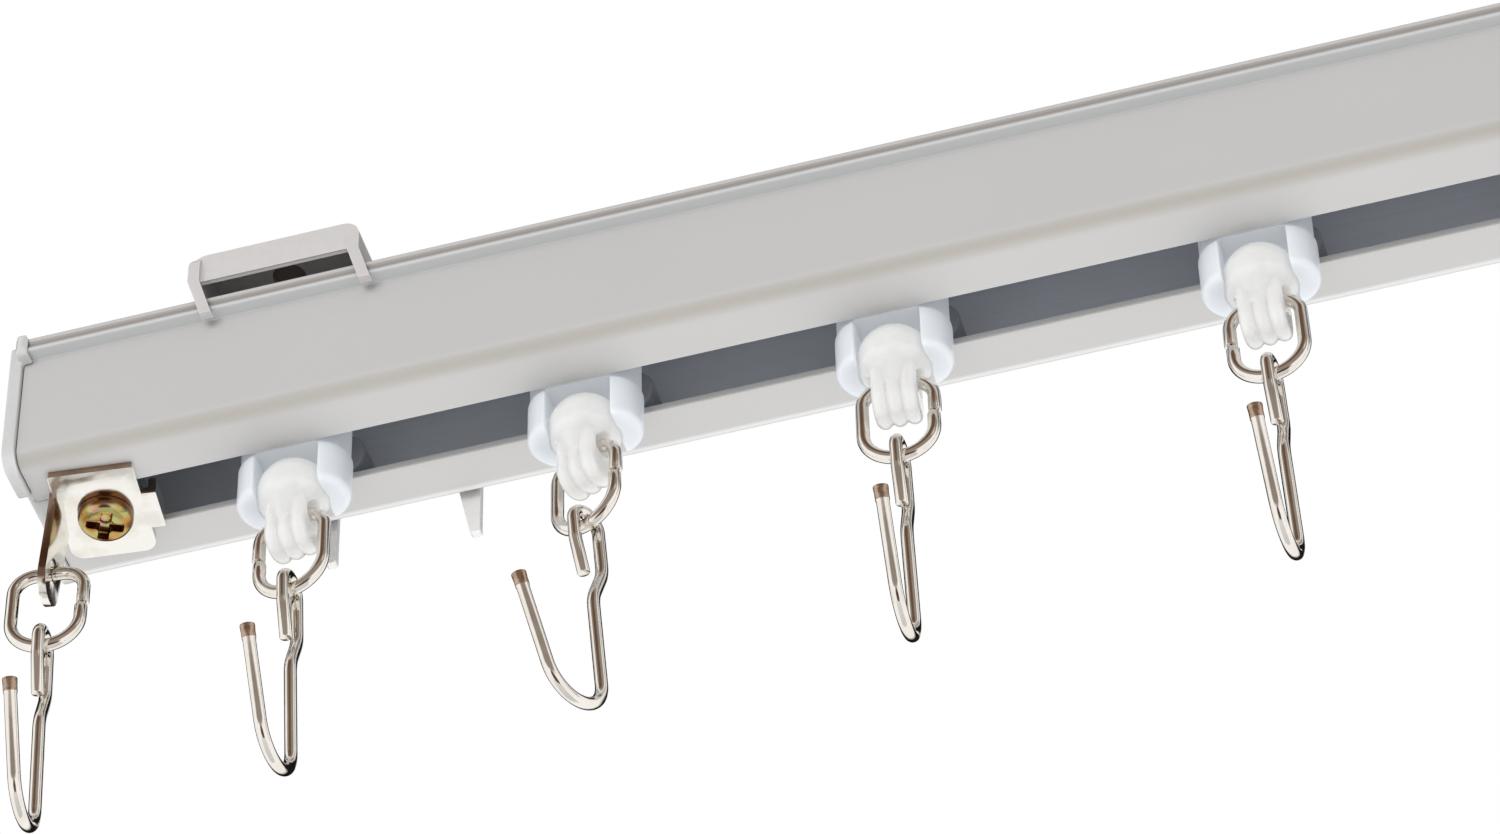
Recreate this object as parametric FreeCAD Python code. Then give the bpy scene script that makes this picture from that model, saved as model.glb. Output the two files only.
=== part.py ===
import FreeCAD, Part
import math
import os

# curtain track: an open channel hung from the ceiling, with carriers, rings and hooks
# X along the rail, Y to the rear, Z up, x = 0 at mid length, y = 0 on the slot's centre line
# pieces are drawn with z = 0 at the rail's under face and saved with z = 0 at the ceiling

# rail
rail_length = 300.0
rail_width = 26.0
rail_wall = 1.25
lip_thick = 1.25
edge_break = 0.2
slot_width = 8.8
shoulder_height = 20.5
flange_height = 2.5
flange_overhang = 2.25
top_web = 1.5
bottom_corner = 1.5
inner_corner = 0.6
flange_corner = 0.45
top_groove_width = 17.0
top_groove_depth = 0.5

# end caps
cap_thick = 1.9
cap_proud = 0.8
cap_gap = 0.15
cap_slot_inset = 1.5
cap_slot_height = 2.6
cap_slot_round = 1.0
cap_flange_round = 1.3
cap_nub_lap = 1.5
cap_plug_depth = 7.0
cap_plug_wall = 1.2
cap_plug_gap = 0.15

# ceiling brackets
bracket_from_end = 39.0
bracket_width = 25.8
bracket_side = 1.7
bracket_rise = 8.2
bracket_top = 2.2
bracket_skirt_height = 6.1
bracket_skirt = 1.6
bracket_skirt_inset = 0.7
bracket_jaw = 1.45
jaw_gap = 0.2
jaw_lip = 1.2
jaw_round = 1.1
bracket_corner = 2.4
ceiling_hole = 5.0
ceiling_hole_offset = 9.5
latch_thick = 1.4
latch_left = -5.2
latch_right = 22.9
latch_wall_gap = 0.6
latch_tongue_front = -5.0
latch_tongue_width = 14.0
latch_frame = 2.4
driver_hole = 9.0
lever_tips = (-0.4, 21.4)
lever_width = 4.4
lever_tip_width = 1.5
lever_drop = 6.5
lever_taper_height = 8.0
rivet_shank = 3.0
rivet_hole_gap = 0.05
rivet_head = 5.2
rivet_head_height = 1.2
rivet_sink = 1.0
rivet_low = 0.2
rivet_sink_gap = 0.2

# end stops
stop_from_end = 9.0
stop_skew = 7.0
stop_thick = 1.15
stop_width = 12.6
stop_shift = -0.35
stop_depth = 16.8
stop_setback = 0.4
stop_corner = 2.0
stop_small_corner = 0.5
tab_reach = 2.1
tab_width = 6.9
tab_rise = 2.4
tab_shift = 0.1
tab_round = 0.8
leg_width = 7.6
leg_setback = 0.7
leg_outset = 0.6
leg_lean = 4.5
leg_eye_radius = 3.6
leg_eye_drop = 13.4
leg_eye_shift = -0.2
leg_hole = 3.8
leg_hole_drop = 11.45
screw_shank = 4.0
screw_length = 9.0
screw_head = 7.7
screw_head_height = 2.3
screw_rim = 0.6
screw_hole_gap = 0.15
screw_fit = 0.1
cross_width = 1.5
cross_length = 5.2
cross_depth = 1.5
cross_turn = 20.0
cross_well = 1.4
nut_length = 12.0
nut_width = 19.6
nut_thick = 2.2
nut_collar = 6.8
nut_collar_height = 1.4
nut_corner = 0.8

# wire rings
ring_wire = 1.9
ring_width = 12.0
ring_height = 16.0
ring_top_corner = 3.3
ring_seam = 0.45
ring_seam_drop = 7.0

# wire hooks
hook_wire = 1.85
hook_eye_width = 6.85
hook_length = 38.4
hook_eye_length = 12.8
hook_eye_straight = 3.4
hook_eye_closing = 1.1
hook_cross_drop = 7.5
hook_cross_length = 5.5
hook_kink_radius = 1.6
hook_bend = 5.5
hook_tip_height = 18.0
hook_tip_lean = 18.0
hook_hang_lean = 6.0
hook_sag = 0.3

# carriers
first_carrier_gap = 28.8
last_carrier_gap = 61.0
carrier_spread = (0.0, 0.2258, 0.461, 0.7336, 1.0)
swivel_turns = (-8.0, -21.0, 2.0, -5.0, 4.0)
hook_turns = (94.0, 84.0, 88.0, 90.0, 86.0)
half_turn = 180.0
seam_turns = (half_turn, 0.0, 0.0, half_turn, 0.0)
stop_hook_turns = (96.0, 84.0)
carrier_length = 16.8
neck_length = 16.2
carrier_neck = 8.0
carrier_depth = 9.2
carrier_drop = 7.8
carrier_shoulder_gap = 0.4
carrier_top = 9.4
carrier_corner = 4.55
neck_corner = 3.95
carrier_edge = 1.0
carrier_top_round = 0.8
recess_width = 9.6
recess_ceiling = 0.25
running_gap = 0.3
wheel_diameter = 8.4
wheel_width = 5.0
wheel_clear = 0.6
wheel_crown = 0.5
wheel_hub = 3.8
wheel_rim = 0.9
wheel_dish = 1.0
axle_spacing = 8.9
axle_diameter = 2.4
axle_fit = 0.1
axle_stub = 0.5
snap_slot = 1.9

# swivel eyes
ball_radius = 5.2
ball_drop = 5.7
socket_gap = 0.3
rib_radius = 1.15
rib_pitch = 2.1
tongue_depth = 6.6
tongue_drop = 17.5
tongue_neck = 12.4
throat_start = 2.4
throat_hollow = 0.15
tunnel_radius = 1.7
tunnel_rise = 0.15
tunnel_height = 4.1
ring_drop = 10.6

# sizes that follow from the ones above
rail_height = shoulder_height + flange_height
half_rail = rail_width / 2
half_slot = slot_width / 2
half_inside = half_rail - rail_wall
half_flange = half_rail + flange_overhang
ceiling_inside = rail_height - top_web
bracket_height = rail_height + bracket_rise
half_ring = (ring_width - ring_wire) / 2
ring_rise = ring_height - ring_wire
half_eye = (hook_eye_width - hook_wire) / 2
axle_height = lip_thick + running_gap + wheel_diameter / 2
stop_x = rail_length / 2 - stop_from_end
stop_leg_x = stop_shift - stop_width / 2 - leg_outset
bracket_places = (bracket_from_end - rail_length / 2, rail_length / 2 - bracket_from_end)
first_carrier = first_carrier_gap - stop_x
carrier_run = stop_x - last_carrier_gap - first_carrier
carrier_places = [first_carrier + carrier_run * share for share in carrier_spread]


def vec(x, y, z):
    return FreeCAD.Vector(x, y, z)


def box(x0, x1, y0, y1, z0, z1):
    return Part.makeBox(x1 - x0, y1 - y0, z1 - z0, vec(x0, y0, z0))


def rod(radius, start, end):
    along = vec(*end) - vec(*start)
    return Part.makeCylinder(radius, along.Length, vec(*start), along)


# closed outline through corners (a, b, rounding), laid into space by place(a, b)
def rounded_face(corners, place):
    points = [vec(a, b, 0) for a, b, r in corners]
    starts, mids, stops = [], [], []
    for i, (a, b, r) in enumerate(corners):
        here = points[i]
        back = (points[i - 1] - here).normalize()
        on = (points[(i + 1) % len(points)] - here).normalize()
        half = back.getAngle(on) / 2
        cut = r / math.tan(half)
        starts.append(here + back * cut)
        stops.append(here + on * cut)
        if r:
            mids.append(here + (back + on).normalize() * (r / math.sin(half) - r))
        else:
            mids.append(None)
    edges = []
    for i in range(len(corners)):
        begin, end = stops[i - 1], starts[i]
        if (end - begin).Length > 1e-6:
            edges.append(Part.LineSegment(place(begin.x, begin.y), place(end.x, end.y)).toShape())
        if mids[i] is not None:
            arc = [place(p.x, p.y) for p in (starts[i], mids[i], stops[i])]
            edges.append(Part.Arc(*arc).toShape())
    return Part.Face(Part.Wire(edges))


def along_rail(corners, x0, x1):
    face = rounded_face(corners, lambda y, z: vec(x0, y, z))
    return face.extrude(vec(x1 - x0, 0, 0))


def upright(corners, z0, z1):
    face = rounded_face(corners, lambda x, y: vec(x, y, z0))
    return face.extrude(vec(0, 0, z1 - z0))


# front half of a section, then the same corners mirrored to the rear
def mirrored(half):
    return half + [(-y, z, r) for y, z, r in reversed(half)]


# round wire following a path, with flat cut ends
def wire_along(edges, radius):
    path = Part.Wire(edges)
    first = edges[0]
    start = first.valueAt(first.FirstParameter)
    heading = first.tangentAt(first.FirstParameter)
    circle = Part.Wire(Part.Circle(start, heading, radius).toShape())
    return path.makePipeShell([circle], True, True)


# path in the X-Z plane from points and arc mid points
def line(a, b):
    return Part.LineSegment(vec(a[0], 0, a[1]), vec(b[0], 0, b[1])).toShape()


def arc(a, b, c):
    return Part.Arc(*[vec(p[0], 0, p[1]) for p in (a, b, c)]).toShape()


def round_point(centre, radius, degrees):
    t = math.radians(degrees)
    return (centre[0] + radius * math.cos(t), centre[1] + radius * math.sin(t))


# open-bottomed channel with a flange along both top edges
def rail():
    outside = mirrored([
        (-half_slot, 0, 0),
        (-half_rail, 0, bottom_corner),
        (-half_rail, shoulder_height, edge_break),
        (-half_flange, shoulder_height, flange_corner),
        (-half_flange, rail_height, flange_corner),
        (-top_groove_width / 2, rail_height, edge_break),
        (-top_groove_width / 2, rail_height - top_groove_depth, edge_break),
    ])
    inside = [
        (half_slot, lip_thick, 0),
        (half_inside, lip_thick, inner_corner),
        (half_inside, ceiling_inside, inner_corner),
        (-half_inside, ceiling_inside, inner_corner),
        (-half_inside, lip_thick, inner_corner),
        (-half_slot, lip_thick, 0),
    ]
    return along_rail(outside + inside, -rail_length / 2, rail_length / 2)


# moulded cap: a plate a little larger than the section, slot left open, a plug inside, nubs over the flanges
def end_cap():
    open_half = half_slot + cap_slot_inset
    wide = half_rail + cap_proud
    outline = mirrored([
        (-open_half, -cap_proud, cap_slot_round),
        (-wide, -cap_proud, bottom_corner + cap_proud),
        (-wide, rail_height + cap_proud, cap_flange_round),
    ]) + [(open_half, cap_slot_height, cap_slot_round), (-open_half, cap_slot_height, cap_slot_round)]
    inner_face = -rail_length / 2 - cap_gap
    plate = along_rail(outline, inner_face - cap_thick, inner_face)
    nubs = [cap_nub(side, inner_face) for side in (-1, 1)]
    plug_half = half_inside - cap_plug_gap
    plug_low = lip_thick + cap_plug_gap
    plug_high = ceiling_inside - cap_plug_gap
    plug_end = -rail_length / 2 + cap_plug_depth
    plug = box(inner_face - cap_thick / 2, plug_end, -plug_half, plug_half, plug_low, plug_high)
    hollow_half = plug_half - cap_plug_wall
    room = box(inner_face, plug_end, -hollow_half, hollow_half, 0, plug_high - cap_plug_wall)
    return plate.fuse([plug.cut(room)] + nubs).removeSplitter()


# hollow nub lapping over the end of one flange
def cap_nub(side, inner_face):
    high, low = rail_height + cap_proud, shoulder_height - cap_proud
    near, far = side * (half_rail + cap_gap), side * (half_flange + cap_proud)
    nub_start = inner_face - cap_thick + cap_nub_lap
    nub = along_rail([
        (near, high, 0),
        (far, high, cap_flange_round),
        (far, low, cap_flange_round),
        (near, low, 0),
    ], nub_start, inner_face + cap_nub_lap)
    edge = half_flange + cap_gap
    pocket = box(inner_face, 0, -edge, edge, shoulder_height - cap_gap, rail_height + cap_gap)
    return nub.cut(pocket)


# clip resting on the rail: top plate, front skirt, two side plates ending in jaws under the flange
def bracket_clip():
    half = bracket_width / 2
    front = -half_flange - jaw_gap - bracket_jaw
    skirt_front = front + bracket_skirt_inset
    rear = half_flange
    under_flange = shoulder_height - jaw_gap
    jaw_tip = -half_rail - latch_wall_gap
    side_outline = [
        (front, bracket_height, bracket_corner),
        (front, under_flange - jaw_lip, jaw_round),
        (jaw_tip, under_flange - jaw_lip, edge_break * 2),
        (jaw_tip, under_flange, edge_break),
        (-half_flange - jaw_gap, under_flange, edge_break),
        (-half_flange - jaw_gap, rail_height, 0),
        (rear, rail_height, edge_break * 2),
        (rear, bracket_height, bracket_corner),
    ]
    sides = [along_rail(side_outline, x, x + bracket_side) for x in (-half, half - bracket_side)]
    inner = half - bracket_side / 2
    plate = box(-inner, inner, skirt_front + 1, rear - 1, bracket_height - bracket_top, bracket_height)
    skirt = rounded_face([
        (-half, bracket_height - bracket_skirt_height, edge_break),
        (half, bracket_height - bracket_skirt_height, edge_break),
        (half, bracket_height, bracket_corner),
        (-half, bracket_height, bracket_corner),
    ], lambda x, z: vec(x, skirt_front, z)).extrude(vec(0, bracket_skirt, 0))
    shape = sides[0].fuse([sides[1], plate, skirt])
    for y in (-ceiling_hole_offset, ceiling_hole_offset):
        shape = shape.cut(rod(ceiling_hole / 2, (0, y, 0), (0, y, bracket_height)))
    sink = bracket_height - rivet_sink
    shape = shape.cut(rod(rivet_shank / 2 + rivet_hole_gap, (0, 0, 0), (0, 0, bracket_height)))
    shape = shape.cut(rod(rivet_head / 2 + rivet_sink_gap, (0, 0, sink), (0, 0, bracket_height)))
    return shape.removeSplitter()


# sprung rear jaw with two release levers running down behind the rail
def bracket_latch():
    top = bracket_height - bracket_top
    near = half_flange + jaw_gap
    far = near + latch_thick
    lip_top = shoulder_height - jaw_gap
    lip_low = lip_top - jaw_lip
    lip_near = half_rail + latch_wall_gap
    half_tongue = latch_tongue_width / 2
    tongue = box(-half_tongue, half_tongue, latch_tongue_front, far - latch_thick / 2, top - latch_thick, top)
    wall = along_rail([
        (near, top, 0),
        (far, top, latch_thick / 2),
        (far, lip_low, latch_thick / 2),
        (lip_near, lip_low, 0),
        (lip_near, lip_top, edge_break),
        (near, lip_top, edge_break),
    ], latch_left, latch_right)
    shape = tongue.fuse(wall)
    for tip in lever_tips:
        right = tip + lever_tip_width / 2
        lever = rounded_face([
            (right - lever_width, lip_top - jaw_lip / 2, 0),
            (right, lip_top - jaw_lip / 2, 0),
            (right, -lever_drop, lever_tip_width / 2 - edge_break),
            (right - lever_tip_width, -lever_drop, lever_tip_width / 2 - edge_break),
            (right - lever_width, lever_taper_height, bottom_corner),
        ], lambda x, z: vec(x, lip_near, z)).extrude(vec(0, latch_thick, 0))
        shape = shape.fuse(lever)
    first, last = lever_tips
    window_right = last - lever_width
    window = box(first + latch_frame, window_right, lip_near, far, lip_top + latch_frame, top - latch_frame)
    shape = shape.cut(window)
    shape = shape.cut(rod(driver_hole / 2, (0, ceiling_hole_offset, 0), (0, ceiling_hole_offset, top)))
    shape = shape.cut(rod(rivet_shank / 2 + rivet_hole_gap, (0, 0, 0), (0, 0, top)))
    return shape.removeSplitter()


# rivet holding the latch up against the clip's top plate
def bracket_rivet():
    under = bracket_height - bracket_top - latch_thick
    sink = bracket_height - rivet_sink
    shank = rod(rivet_shank / 2, (0, 0, under), (0, 0, sink))
    head = rod(rivet_head / 2, (0, 0, sink), (0, 0, bracket_height - rivet_low))
    foot = rod(rivet_head / 2, (0, 0, under - rivet_head_height), (0, 0, under))
    return shank.fuse([head, foot]).removeSplitter()


# pressed plate under the slot, with a tab up into it and a leg hanging at its outer edge
def stop_plate():
    left, right = stop_shift - stop_width / 2, stop_shift + stop_width / 2
    near = -stop_depth / 2 - stop_setback
    far = near + stop_depth
    plate = upright([
        (left, near, stop_small_corner),
        (right, near, stop_small_corner),
        (right, far, stop_corner),
        (left, far, stop_corner),
    ], -stop_thick, 0)
    tab_near = tab_shift - tab_width / 2
    tab_far = tab_near + tab_width
    tab_end = right + tab_reach
    tab = upright([
        (0, tab_near, 0),
        (tab_end, tab_near, edge_break),
        (tab_end, tab_far, edge_break),
        (0, tab_far, 0),
    ], -stop_thick, 0)
    lift = rounded_face([
        (tab_near, -stop_thick, edge_break),
        (tab_far, -stop_thick, edge_break),
        (tab_far, tab_rise, tab_round),
        (tab_near, tab_rise, tab_round),
    ], lambda y, z: vec(tab_end - stop_thick, y, z)).extrude(vec(stop_thick, 0, 0))
    leg_near = leg_eye_shift - leg_width / 2 - leg_setback
    leg_far = leg_near + leg_width
    eye_near, eye_far = leg_eye_shift - leg_eye_radius, leg_eye_shift + leg_eye_radius
    eye_low = -leg_eye_drop - leg_eye_radius
    leg = along_rail([
        (leg_near, 0, edge_break),
        (leg_far, 0, edge_break),
        (eye_far, -leg_eye_drop, 0),
        (eye_far, eye_low, leg_eye_radius * 0.99),
        (eye_near, eye_low, leg_eye_radius * 0.99),
        (eye_near, -leg_eye_drop, 0),
    ], stop_leg_x, stop_leg_x + stop_thick)
    eye = rod(leg_hole / 2, (-stop_width, leg_eye_shift, -leg_hole_drop), (0, leg_eye_shift, -leg_hole_drop))
    leg = leg.cut(eye)
    leg.rotate(vec(stop_leg_x, 0, -stop_thick), vec(0, 1, 0), leg_lean)
    root = box(stop_leg_x, left + stop_small_corner, leg_near, leg_far, -stop_thick, 0)
    screw_hole = rod(screw_shank / 2 + screw_hole_gap, (0, 0, -stop_thick), (0, 0, 0))
    return plate.fuse([tab, lift, leg, root]).cut(screw_hole).removeSplitter()


# pan-head screw pointing up, head against the plate, crosshead recess below
def stop_screw():
    seat = -stop_thick
    low = seat - screw_head_height
    rim = seat - screw_rim
    r = screw_head / 2
    dome = rim - low
    crown = r - dome
    profile = [
        line((0, seat), (r, seat)),
        line((r, seat), (r, rim)),
        arc((r, rim), round_point((crown, rim), dome, -45), (crown, low)),
        line((crown, low), (0, low)),
        line((0, low), (0, seat)),
    ]
    head = Part.Face(Part.Wire(profile)).revolve(vec(0, 0, 0), vec(0, 0, 1), 360)
    shape = head.fuse(rod(screw_shank / 2, (0, 0, seat), (0, 0, seat + screw_length)))
    long, wide = cross_length / 2, cross_width / 2
    for turn in (0, 90):
        arm = box(-long, long, -wide, wide, low, low + cross_depth)
        arm.rotate(vec(0, 0, 0), vec(0, 0, 1), cross_turn + turn)
        shape = shape.cut(arm)
    well = Part.makeCone(cross_well, cross_width / 2, screw_head_height * 0.85, vec(0, 0, low))
    return shape.cut(well).removeSplitter()


# clamp nut lying across the two lips inside the channel, with a tapped collar
def stop_nut():
    long, wide = nut_length / 2, nut_width / 2
    top = lip_thick + nut_thick
    nut = upright([
        (-long, -wide, nut_corner),
        (long, -wide, nut_corner),
        (long, wide, nut_corner),
        (-long, wide, nut_corner),
    ], lip_thick, top)
    collar = rod(nut_collar / 2, (0, 0, lip_thick), (0, 0, top + nut_collar_height))
    hole = rod(screw_shank / 2 + screw_fit / 2, (0, 0, 0), (0, 0, top + nut_collar_height))
    return nut.fuse(collar).cut(hole).removeSplitter()


# long wire ring, top wire centre at the origin, a seam in one long side
def ring():
    w, c = half_ring, ring_top_corner
    flat = w - c
    low = -ring_rise
    bowl = low + w
    seam = -ring_seam_drop
    gap = ring_seam / 2
    path = [
        line((w, seam + gap), (w, -c)),
        arc((w, -c), round_point((flat, -c), c, 45), (flat, 0)),
        line((flat, 0), (-flat, 0)),
        arc((-flat, 0), round_point((-flat, -c), c, 135), (-w, -c)),
        line((-w, -c), (-w, bowl)),
        arc((-w, bowl), (0, low), (w, bowl)),
        line((w, bowl), (w, seam - gap)),
    ]
    return wire_along(path, ring_wire / 2)


# wire hook: long eye about the origin, straight shank, round bend and leaning point
def hook():
    top = half_eye + hook_wire / 2
    low = top - hook_length + hook_wire / 2
    centre = (hook_bend, low + hook_bend)
    bend_end = round_point(centre, hook_bend, -hook_tip_lean)
    tip_height = low - hook_wire / 2 + hook_tip_height
    tip = (bend_end[0] + (tip_height - bend_end[1]) * math.tan(math.radians(hook_tip_lean)), tip_height)
    eye_foot = top - hook_eye_length
    cross_low = -hook_cross_drop - hook_cross_length
    path = [
        line((half_eye - hook_eye_closing, eye_foot), (half_eye, -hook_eye_straight)),
        line((half_eye, -hook_eye_straight), (half_eye, 0)),
        arc((half_eye, 0), (0, half_eye), (-half_eye, 0)),
        line((-half_eye, 0), (-half_eye, -hook_cross_drop)),
        line((-half_eye, -hook_cross_drop), (0, cross_low)),
        line((0, cross_low), (0, centre[1])),
        arc((0, centre[1]), round_point(centre, hook_bend, 270 - hook_tip_lean / 2), bend_end),
        line(bend_end, tip),
    ]
    return wire_along(smooth(path, hook_kink_radius), hook_wire / 2)


# rounds the kinks between straight pieces of a path
def smooth(path, radius):
    done = [path[0]]
    for piece in path[1:]:
        last = done[-1]
        arriving = last.tangentAt(last.LastParameter)
        leaving = piece.tangentAt(piece.FirstParameter)
        kink = arriving.getAngle(leaving)
        if kink < 0.02:
            done.append(piece)
            continue
        cut = radius * math.tan(kink / 2) + 0.35
        corner = piece.valueAt(piece.FirstParameter)
        start = corner - arriving * cut
        end = corner + leaving * cut
        bulge = cut / math.sin(kink / 2) - cut / math.tan(kink / 2)
        mid = corner + (leaving - arriving).normalize() * bulge
        done[-1] = Part.LineSegment(last.valueAt(last.FirstParameter), start).toShape()
        done.append(Part.Arc(start, mid, end).toShape())
        done.append(Part.LineSegment(end, piece.valueAt(piece.LastParameter)).toShape())
    return done


# carrier body: neck through the slot, two cheeks below it with a ball socket between them
def carrier_body():
    half = carrier_length / 2
    deep = carrier_depth / 2
    foot = upright([
        (-half, -deep, carrier_corner),
        (half, -deep, carrier_corner),
        (half, deep, carrier_corner),
        (-half, deep, carrier_corner),
    ], -carrier_drop, -carrier_shoulder_gap)
    low_edges = [e for e in foot.Edges if e.BoundBox.ZMax < 0.01 - carrier_drop]
    foot = foot.makeFillet(carrier_edge, low_edges)
    half_neck = carrier_neck / 2
    half_length = neck_length / 2
    neck = upright([
        (-half_length, -half_neck, neck_corner),
        (half_length, -half_neck, neck_corner),
        (half_length, half_neck, neck_corner),
        (-half_length, half_neck, neck_corner),
    ], -carrier_shoulder_gap * 2, carrier_top)
    top_edges = [e for e in neck.Edges if e.BoundBox.ZMin > carrier_top - 0.01]
    neck = neck.makeFillet(carrier_top_round, top_edges)
    shape = foot.fuse(neck)
    inner = recess_width / 2
    shape = shape.cut(box(-inner, inner, -deep, deep, -carrier_drop, recess_ceiling))
    shape = shape.cut(Part.makeSphere(ball_radius + socket_gap, vec(0, 0, -ball_drop)))
    bore = axle_diameter / 2 + axle_fit / 2
    slit = snap_slot / 2
    for x in (-axle_spacing / 2, axle_spacing / 2):
        shape = shape.cut(rod(bore, (x, -deep, axle_height), (x, deep, axle_height)))
        shape = shape.cut(box(x - slit, x + slit, -deep, deep, axle_height, carrier_top))
    return shape.removeSplitter()


# two wheels moulded on one axle, axle along Y through the origin
def wheel_set():
    inner = carrier_neck / 2 + wheel_clear
    outer = inner + wheel_width
    r = wheel_diameter / 2
    end = outer + axle_stub
    shape = rod(axle_diameter / 2, (0, -end, 0), (0, end, 0))
    for side in (-1, 1):
        tyre = turned([
            (side * inner, axle_diameter / 4, 0),
            (side * inner, r, wheel_crown),
            (side * outer, r, wheel_crown),
            (side * outer, axle_diameter / 4, 0),
        ])
        dish = turned([
            (side * (outer - wheel_dish), wheel_hub / 2, 0),
            (side * outer, wheel_hub / 2, 0),
            (side * outer, r - wheel_rim, 0),
            (side * (outer - wheel_dish), r - wheel_rim, 0),
        ])
        shape = shape.fuse(tyre.cut(dish))
    return shape.removeSplitter()


# solid turned about the Y axis from an outline in Y and radius
def turned(corners):
    face = rounded_face(corners, lambda y, radius: vec(0, y, radius))
    return face.revolve(vec(0, 0, 0), vec(0, 1, 0), 360)


# ball-headed eye: the ball sits in the carrier, three round-edged ribs hang below with the ring's tunnel
def swivel():
    half = tongue_depth / 2
    run = half - rib_radius
    low = half - tongue_drop
    top = -ball_drop - throat_start
    ribs = []
    for x in (-rib_pitch, 0, rib_pitch):
        near, far = x - rib_radius, x + rib_radius
        edge = [
            Part.LineSegment(vec(x, -run, top), vec(x, -run, low)).toShape(),
            Part.Arc(vec(x, -run, low), vec(x, 0, low - run), vec(x, run, low)).toShape(),
            Part.LineSegment(vec(x, run, low), vec(x, run, top)).toShape(),
        ]
        ribs += [
            box(near, far, -run, run, low, top),
            rod(run, (near, 0, low), (far, 0, low)),
            wire_along(edge, rib_radius),
        ]
    ball = Part.makeSphere(ball_radius, vec(0, 0, -ball_drop))
    shape = ball.fuse([throat()] + ribs)
    z = tunnel_rise - ring_drop
    low_z = z - tunnel_height + 2 * tunnel_radius
    ends = [rod(tunnel_radius, (-ball_radius, 0, h), (ball_radius, 0, h)) for h in (z, low_z)]
    middle = box(-ball_radius, ball_radius, -tunnel_radius, tunnel_radius, low_z, z)
    return shape.cut(middle.fuse(ends)).removeSplitter()


# hollow-sided neck between the ball and the ribs
def throat():
    z_high = -ball_drop - throat_start
    wide = math.sqrt(ball_radius ** 2 - throat_start ** 2) - 0.05
    narrow = rib_pitch + rib_radius
    waist = (narrow + (wide - narrow) * 0.38 - throat_hollow, (z_high - tongue_neck) / 2)
    profile = [
        line((0, z_high), (wide, z_high)),
        arc((wide, z_high), waist, (narrow, -tongue_neck)),
        line((narrow, -tongue_neck), (0, -tongue_neck)),
        line((0, -tongue_neck), (0, z_high)),
    ]
    return Part.Face(Part.Wire(profile)).revolve(vec(0, 0, 0), vec(0, 0, 1), 360)


def placed(shape, turn=0.0, at=(0, 0, 0)):
    copy = shape.copy()
    copy.rotate(vec(0, 0, 0), vec(0, 0, 1), turn)
    copy.translate(vec(*at))
    return copy


# hook leaned in its own plane so that its weight hangs below the ring, then turned about Z
def hung_hook(turn, at):
    shape = hook()
    shape.rotate(vec(0, 0, 0), vec(0, 1, 0), hook_hang_lean)
    return placed(shape, turn + half_turn, at)


# writes one piece, lowered so that the ceiling is at z = 0
def save(name, shape):
    assert shape.isValid(), name
    lowered = placed(shape, 0, (0, 0, -bracket_height))
    lowered.exportStep("parts/" + name + ".step")
    print(name, len(lowered.Solids), "solid,", round(lowered.Volume, 1), "mm3")


def build_rail():
    save("rail", rail())
    save("end_cap_left", end_cap())
    save("end_cap_right", placed(end_cap(), half_turn))


def build_brackets():
    for side, x in zip(("left", "right"), bracket_places):
        save("bracket_clip_" + side, placed(bracket_clip(), 0, (x, 0, 0)))
        save("bracket_latch_" + side, placed(bracket_latch(), 0, (x, 0, 0)))
        save("bracket_rivet_" + side, placed(bracket_rivet(), 0, (x, 0, 0)))


def build_stops():
    ring_top = running_gap - leg_hole_drop - (leg_hole - ring_wire) / 2
    leg_middle = stop_leg_x + stop_thick / 2 + (ring_top + stop_thick) * math.tan(math.radians(leg_lean))
    hang = ring_top - ring_rise - hook_sag
    for i, side in enumerate(("left", "right")):
        x = (-stop_x, stop_x)[i]
        turn = stop_skew + half_turn * i
        save("stop_plate_" + side, placed(stop_plate(), turn, (x, 0, 0)))
        save("stop_screw_" + side, placed(stop_screw(), turn, (x, 0, 0)))
        save("stop_nut_" + side, placed(stop_nut(), 0, (x, 0, 0)))
        eye = placed(Part.Vertex(leg_middle, leg_eye_shift, 0), turn, (x, 0, 0)).Point
        save("stop_ring_" + side, placed(ring(), stop_skew, (eye.x, eye.y, ring_top)))
        save("stop_hook_" + side, hung_hook(stop_hook_turns[i], (eye.x, eye.y, hang)))


def build_carriers():
    wheels = wheel_set()
    body = carrier_body()
    eye = swivel()
    hang = -ring_drop - ring_rise - hook_sag
    for i, x in enumerate(carrier_places):
        name = "carrier_" + str(i + 1)
        turn = swivel_turns[i]
        save(name + "_body", placed(body, 0, (x, 0, 0)))
        save(name + "_wheels_left", placed(wheels, 0, (x - axle_spacing / 2, 0, axle_height)))
        save(name + "_wheels_right", placed(wheels, 0, (x + axle_spacing / 2, 0, axle_height)))
        save(name + "_swivel", placed(eye, turn, (x, 0, 0)))
        save(name + "_ring", placed(ring(), turn + seam_turns[i], (x, 0, -ring_drop)))
        save(name + "_hook", hung_hook(turn + hook_turns[i], (x, 0, hang)))


os.makedirs("parts", exist_ok=True)
build_rail()
build_brackets()
build_stops()
build_carriers()
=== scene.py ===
import bpy
import bmesh
import math
from mathutils import Matrix, Vector


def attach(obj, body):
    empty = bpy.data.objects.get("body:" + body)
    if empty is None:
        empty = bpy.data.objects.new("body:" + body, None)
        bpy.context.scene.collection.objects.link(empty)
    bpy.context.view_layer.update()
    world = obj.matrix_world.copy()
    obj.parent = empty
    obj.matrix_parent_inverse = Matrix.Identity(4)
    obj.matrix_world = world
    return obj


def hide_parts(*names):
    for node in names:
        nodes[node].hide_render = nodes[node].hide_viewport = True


# ceiling curtain track: coated rail, moulded caps and carriers, plated rings, hooks and end stops
# meshes are worked in millimetres about their own middle, and placed in metres

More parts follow.
